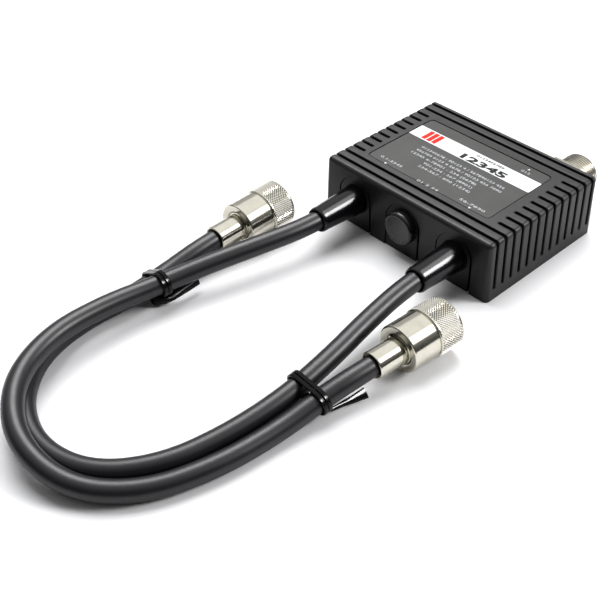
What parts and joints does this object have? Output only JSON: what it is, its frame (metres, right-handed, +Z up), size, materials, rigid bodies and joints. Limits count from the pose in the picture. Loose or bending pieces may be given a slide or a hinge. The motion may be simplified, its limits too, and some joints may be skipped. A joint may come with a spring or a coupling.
{
  "type": "antenna duplexer",
  "caption": "Radio antenna duplexer: ribbed box with a threaded aerial socket and two captive coax leads that end in threaded plugs.",
  "frame": {"origin": "on the floor, under the middle of the box", "axes": "+Z up; the front wall with the two cable boots faces -Y; the aerial socket faces +Y; the ribbed ends face +X and -X"},
  "size_m": [0.1084, 0.2377, 0.0247],
  "materials": {
    "housing": "satin black",
    "base": "satin black",
    "label": "satin",
    "rubber_trim": "satin black",
    "cable_jacket": "satin black vinyl",
    "crimp_metal": "plated",
    "nickel": "bright nickel plate",
    "insulator": "white",
    "contact": "plated",
    "board": "green laminate",
    "tinned_steel": "tinned",
    "copper": "enamelled",
    "ceramic": "dipped",
    "screw_steel": "zinc plated",
    "tie_plastic": "gloss black"
  },
  "bodies": {
    "housing": {"base_plate": "base", "base_screws": "screw_steel", "board_screws": "screw_steel", "circuit_board": "board", "filter_capacitors": "ceramic", "high_band_coils": "copper", "hole_plug": "rubber_trim", "label_plate": "label", "left_cable_boot": "rubber_trim", "left_cable_end": "cable_jacket", "left_cable_tie": "tie_plastic", "left_crimp_ring": "crimp_metal", "left_lead_wire": "copper", "left_plug_body": "nickel", "left_plug_insulator": "insulator", "left_plug_pin": "contact", "left_port_lead": "cable_jacket", "low_band_coils": "copper", "right_cable_boot": "rubber_trim", "right_cable_end": "cable_jacket", "right_cable_tie": "tie_plastic", "right_crimp_ring": "crimp_metal", "right_lead_wire": "copper", "right_plug_body": "nickel", "right_plug_insulator": "insulator", "right_plug_pin": "contact", "right_port_lead": "cable_jacket", "shield_wall": "tinned_steel", "socket_contact": "contact", "socket_insulator": "insulator", "socket_lead_wire": "copper", "socket_nut": "nickel", "socket_shell": "nickel", "socket_washer": "nickel", "top_cover": "housing"},
    "left_ring": {"left_coupling_nut": "nickel"},
    "right_ring": {"right_coupling_nut": "nickel"}
  },
  "joints": [
    {"name": "left_ring_spin", "type": "hinge", "parent": "housing", "child": "left_ring", "pos_m": [-0.04631, -0.06353, 0.00925], "axis": [-0.0506, 0.9987, 0], "continuous": true},
    {"name": "right_ring_spin", "type": "hinge", "parent": "housing", "child": "right_ring", "pos_m": [0.04231, -0.06953, 0.00925], "axis": [0.0506, 0.9987, 0], "continuous": true}
  ]
}
